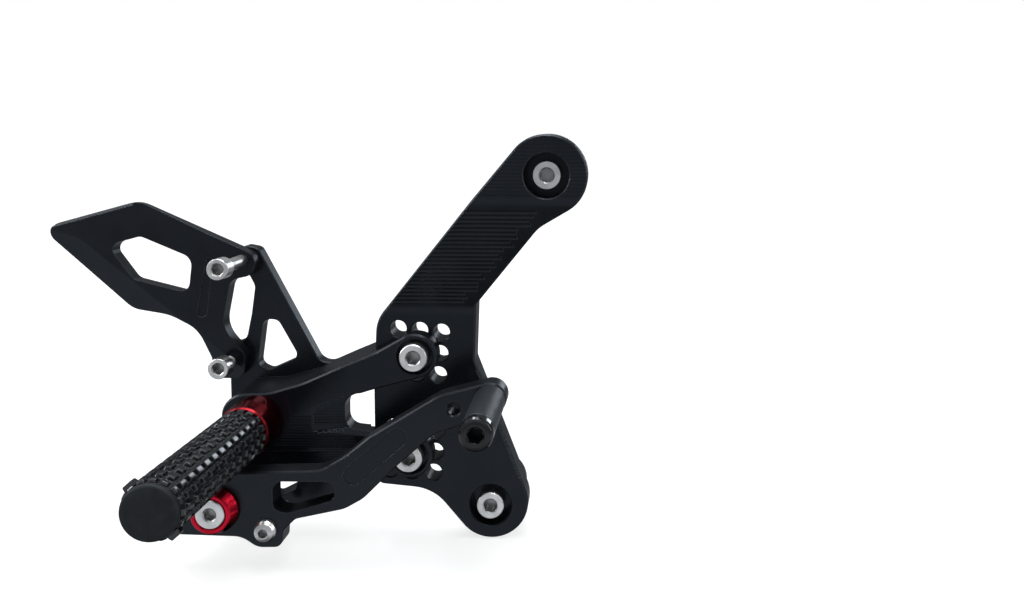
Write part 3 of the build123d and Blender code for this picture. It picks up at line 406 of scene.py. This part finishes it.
def spread(axis, low, high, out_low, out_high):
    node = wt.nodes.new("ShaderNodeMapRange")
    node.interpolation_type = "SMOOTHSTEP"
    node.inputs["From Min"].default_value = low
    node.inputs["From Max"].default_value = high
    node.inputs["To Min"].default_value = out_low
    node.inputs["To Max"].default_value = out_high
    wt.links.new(parts.outputs[axis], node.inputs["Value"])
    return node.outputs["Result"]


depth_fade = spread("Y", -0.3, 0.85, 0.38, 0.10)
floor_glow = spread("Z", -0.5, -0.05, 0.42, 0.0)
floor_shade = spread("Z", -0.9, -0.5, -0.68, 0.0)
ceiling_glow = spread("Z", 0.15, 0.75, 0.0, 0.35)
total = depth_fade
for glow in (floor_glow, floor_shade, ceiling_glow):
    add = wt.nodes.new("ShaderNodeMath")
    add.operation = "ADD"
    wt.links.new(total, add.inputs[0])
    wt.links.new(glow, add.inputs[1])
    total = add.outputs[0]
ray = wt.nodes.new("ShaderNodeLightPath")
pick = wt.nodes.new("ShaderNodeMixShader")
wt.links.new(total, walls.inputs["Strength"])
wt.links.new(ray.outputs["Is Camera Ray"], pick.inputs[0])
wt.links.new(walls.outputs[0], pick.inputs[1])
wt.links.new(backdrop.outputs[0], pick.inputs[2])
wt.links.new(pick.outputs[0], wt.nodes["World Output"].inputs["Surface"])


def softbox(name, place, aim, size, power, color=(1.0, 1.0, 1.0)):
    data = bpy.data.lights.new(name, "AREA")
    data.shape = "RECTANGLE"
    data.size, data.size_y = size
    data.energy = power
    data.color = color
    lamp = bpy.data.objects.new(name, data)
    bpy.context.scene.collection.objects.link(lamp)
    lamp.location = place
    lamp.rotation_mode = "QUATERNION"
    lamp.rotation_quaternion = (Vector(aim) - Vector(place)).to_track_quat("-Z", "Y")
    return lamp


middle = Vector([(a + b) / 2 for a, b in zip(cad_low, cad_high)])
softbox("top_softbox", (-0.05, -0.03, 1.05), middle, (1.3, 0.12), 7.0, (0.93, 0.97, 1.0))
softbox("right_softbox", (1.0, -0.10, 0.45), middle, (0.12, 0.9), 3.2)
softbox("left_softbox", (-1.15, -0.12, 0.50), middle, (0.16, 0.9), 6.0)
rim = softbox("rear_softbox", (0.44, 1.0, 0.37), (-0.11, -0.08, 0.05), (0.12, 0.6), 1.8, (0.85, 0.92, 1.0))
rim.visible_camera = False
sun_data = bpy.data.lights.new("even_light", "SUN")
sun_data.energy = 2.2
sun_data.angle = math.radians(50.0)
sun = bpy.data.objects.new("even_light", sun_data)
bpy.context.scene.collection.objects.link(sun)
sun.rotation_mode = "QUATERNION"
sun.rotation_quaternion = Vector((0.10, -0.12, -1.0)).to_track_quat("-Z", "Y")

# ------------------------------------------------------------------ camera
# stands in front of the outboard side, right of the middle and above the upper bolt
yaw, pitch, roll = -0.00738, 0.05849, 0.00419
forward = Vector((math.sin(yaw) * math.cos(pitch), math.cos(yaw) * math.cos(pitch), -math.sin(pitch)))
right = Vector((math.cos(yaw), -math.sin(yaw), 0.0))
up = right.cross(forward)
axis_x = right * math.cos(roll) + up * math.sin(roll)
axis_y = up * math.cos(roll) - right * math.sin(roll)
camera_data = bpy.data.cameras.new("camera")
camera = bpy.data.objects.new("camera", camera_data)
bpy.context.scene.collection.objects.link(camera)
camera.matrix_world = Matrix(
    (
        (axis_x.x, axis_y.x, -forward.x, 0.05203703),
        (axis_x.y, axis_y.y, -forward.y, -0.37984154),
        (axis_x.z, axis_y.z, -forward.z, 0.18202644),
        (0.0, 0.0, 0.0, 1.0),
    )
)
camera_data.lens = 26.205
camera_data.sensor_width = 36.0
camera_data.shift_x, camera_data.shift_y = -0.08, -0.13
camera_data.clip_start, camera_data.clip_end = 0.01, 60.0
bpy.context.scene.camera = camera
bpy.context.scene.view_settings.view_transform = "Standard"

low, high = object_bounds()
